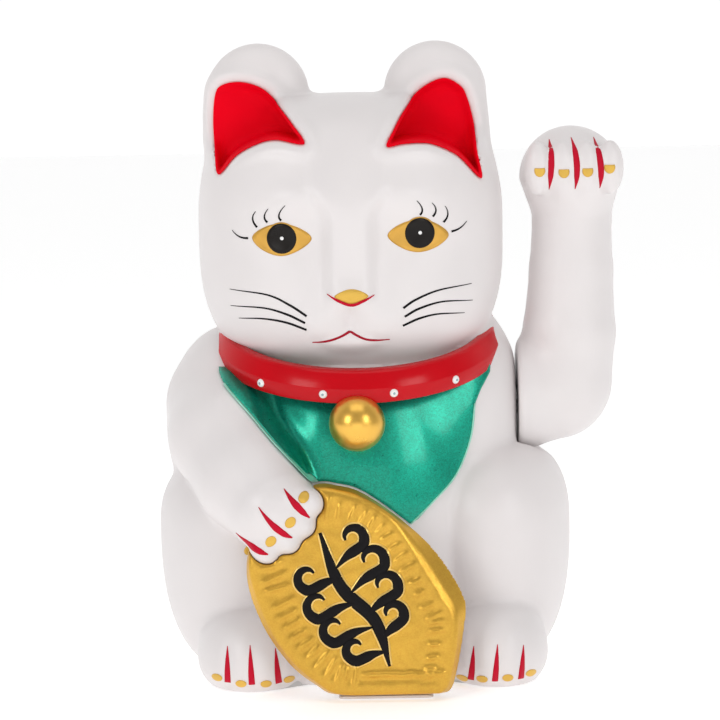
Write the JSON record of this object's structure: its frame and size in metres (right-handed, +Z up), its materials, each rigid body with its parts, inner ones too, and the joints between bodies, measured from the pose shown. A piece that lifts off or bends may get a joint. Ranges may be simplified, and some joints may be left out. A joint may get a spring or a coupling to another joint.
{
  "type": "beckoning cat figurine",
  "caption": "Seated cat figurine with a raised arm that waves fore and aft on a pendulum, a coin plaque, collar, bib and bell, on a flat base with a battery door.",
  "frame": {"origin": "centre of the base plate's flat underside, on the surface the figurine stands on", "axes": "+Z up, the cat faces -Y, +X towards the raised arm"},
  "size_m": [0.1498, 0.1159, 0.1998],
  "materials": {
    "shell_white": "satin moulded plastic, warm white",
    "arm_white": "satin moulded plastic, warm white",
    "collar_red": "glossy red lacquered plastic",
    "stud_white": "glossy white",
    "bib_green": "metallic-flake green lacquer",
    "bell_gold": "satin gold lacquered plastic",
    "coin_gold": "satin gold lacquered plastic",
    "base_grey": "fine textured moulded plastic",
    "door_grey": "fine textured moulded plastic",
    "frame_plastic": "moulded plastic",
    "knob_black": "black plastic",
    "lever_plastic": "moulded plastic",
    "hub_plastic": "moulded plastic",
    "bobbin_plastic": "moulded plastic",
    "cell_jacket": "printed steel can",
    "steel": "bright steel",
    "magnet_steel": "dark ferrite magnet",
    "board_green": "coated fibre board",
    "parts_dark": "small electronic parts",
    "copper": "enamelled copper wire",
    "lead_red": "insulated wire",
    "lead_black": "insulated wire"
  },
  "bodies": {
    "body": {"front_shell": "shell_white", "rear_shell": "shell_white", "collar": "collar_red", "collar_studs": "stud_white", "bib": "bib_green", "bell": "bell_gold", "coin": "coin_gold", "base_plate": "base_grey", "base_screws": "steel", "battery": "cell_jacket", "positive_contact": "steel", "negative_spring": "steel", "switch_body": "steel", "circuit_board": "board_green", "circuit_parts": "parts_dark", "coil_bobbin": "bobbin_plastic", "coil_winding": "copper", "wire_red": "lead_red", "wire_black": "lead_black", "mechanism_frame": "frame_plastic", "frame_screws": "steel"},
    "arm": {"arm_front_half": "arm_white", "arm_rear_half": "arm_white", "arm_hub": "hub_plastic", "axle": "steel", "axle_clips": "knob_black", "pendulum_lever": "lever_plastic", "pendulum_magnet": "magnet_steel", "counterweight": "steel", "weight_bolt": "steel"},
    "battery_door": {"battery_door": "door_grey"},
    "switch_knob": {"switch_knob": "knob_black"}
  },
  "joints": [
    {"name": "arm_wave", "type": "hinge", "parent": "body", "child": "arm", "pos_m": [0, 0, 0.085], "axis": [1, 0, 0], "range_deg": [-20, 20]},
    {"name": "switch_slide", "type": "slide", "parent": "body", "child": "switch_knob", "axis": [0, 1, 0], "range_m": [0, 0.003]},
    {"name": "battery_door_slide", "type": "slide", "parent": "body", "child": "battery_door", "axis": [0, 0, -1], "range_m": [0, 0.012]}
  ]
}
